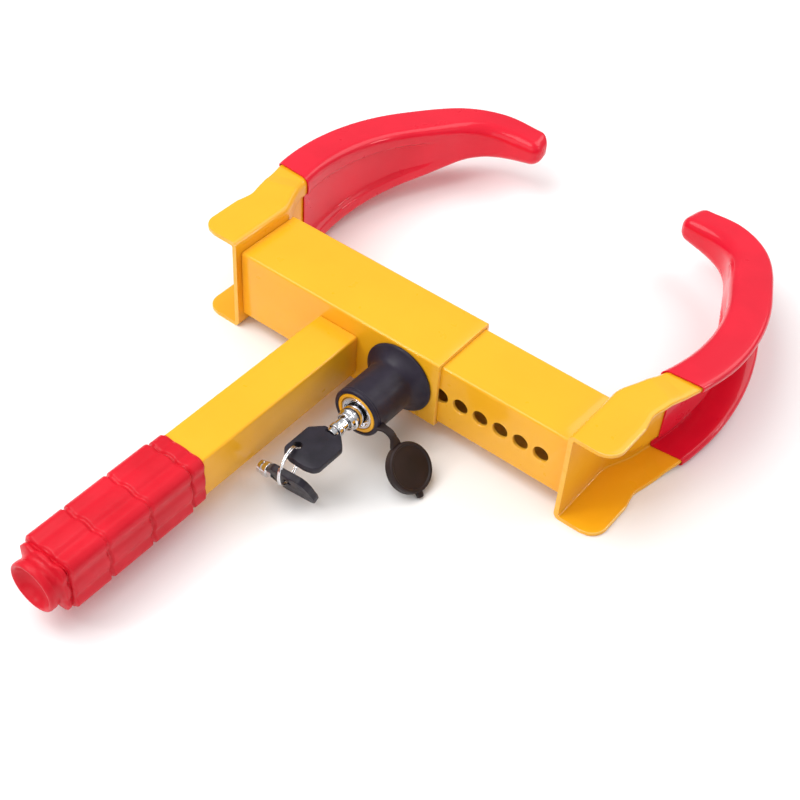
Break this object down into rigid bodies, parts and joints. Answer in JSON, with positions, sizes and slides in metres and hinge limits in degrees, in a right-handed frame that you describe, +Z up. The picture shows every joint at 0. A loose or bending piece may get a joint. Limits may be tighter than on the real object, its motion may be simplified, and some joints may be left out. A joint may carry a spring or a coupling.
{
  "type": "wheel clamp",
  "caption": "Adjustable wheel clamp: square telescoping bar with two hooked claw arms, a gripped handle and a push lock with key and tethered dust cap.",
  "frame": {"origin": "centre of the outer tube's back face, which faces the tyre", "axes": "+X along the bar towards the sliding arm, +Y towards the tyre, +Z up with the clamp lying flat"},
  "size_m": [0.3293, 0.5024, 0.0686],
  "materials": {
    "yellow_paint": "gloss powder coat",
    "red_vinyl": "glossy dipped vinyl",
    "red_grip": "soft moulded vinyl, satin gloss",
    "black_rubber": "satin moulded rubber",
    "black_plastic": "fine matte",
    "chrome": "bright plated",
    "steel": "plain"
  },
  "bodies": {
    "clamp_body": {"outer_tube": "yellow_paint", "fixed_arm": "yellow_paint", "fixed_arm_skin": "red_vinyl", "handle_tube": "yellow_paint", "handle_grip": "red_grip", "lock_sleeve": "yellow_paint", "lock_boot": "black_rubber", "lock_housing": "chrome", "stop_pin": "steel", "return_spring": "steel", "cap_strap": "black_rubber"},
    "sliding_jaw": {"inner_tube": "yellow_paint", "sliding_arm": "yellow_paint", "sliding_arm_skin": "red_vinyl"},
    "plunger": {"lock_plunger": "chrome"},
    "core": {"lock_core": "chrome"},
    "key": {"key_shaft": "chrome", "key_head": "black_plastic"},
    "ring": {"key_ring": "chrome"},
    "spare_key": {"spare_key_shaft": "chrome", "spare_key_head": "black_plastic"},
    "cap": {"dust_cap": "black_rubber"}
  },
  "joints": [
    {"name": "rail_slide", "type": "slide", "parent": "clamp_body", "child": "sliding_jaw", "axis": [1, 0, 0], "range_m": [-0.0852, 0.0284]},
    {"name": "lock_push", "type": "slide", "parent": "clamp_body", "child": "plunger", "axis": [0, 1, 0], "range_m": [0, 0.01], "stiffness_N_per_m": 150, "springref_m": -0.004, "deforming": ["return_spring"]},
    {"name": "key_turn", "type": "hinge", "parent": "plunger", "child": "core", "pos_m": [0.04965, -0.101, 0], "axis": [0, -1, 0], "range_deg": [0, 90]},
    {"name": "key_withdraw", "type": "slide", "parent": "core", "child": "key", "axis": [0, -1, 0], "range_m": [0, 0.012]},
    {"name": "ring_swing", "type": "hinge", "parent": "key", "child": "ring", "pos_m": [0.04205, -0.1334, 0], "axis": [0.0965, -0.4729, 0.8758], "range_deg": [-2, 12]},
    {"name": "spare_key_swing", "type": "hinge", "parent": "ring", "child": "spare_key", "pos_m": [0.04401, -0.143, -0.0169], "axis": [0.2, -0.9798, 0], "range_deg": [-12, 12]},
    {"name": "cap_swing", "type": "hinge", "parent": "clamp_body", "child": "cap", "pos_m": [0.06775, -0.0884, -0.004], "axis": [0, -1, 0], "range_deg": [0, 90], "deforming": ["cap_strap"]}
  ]
}
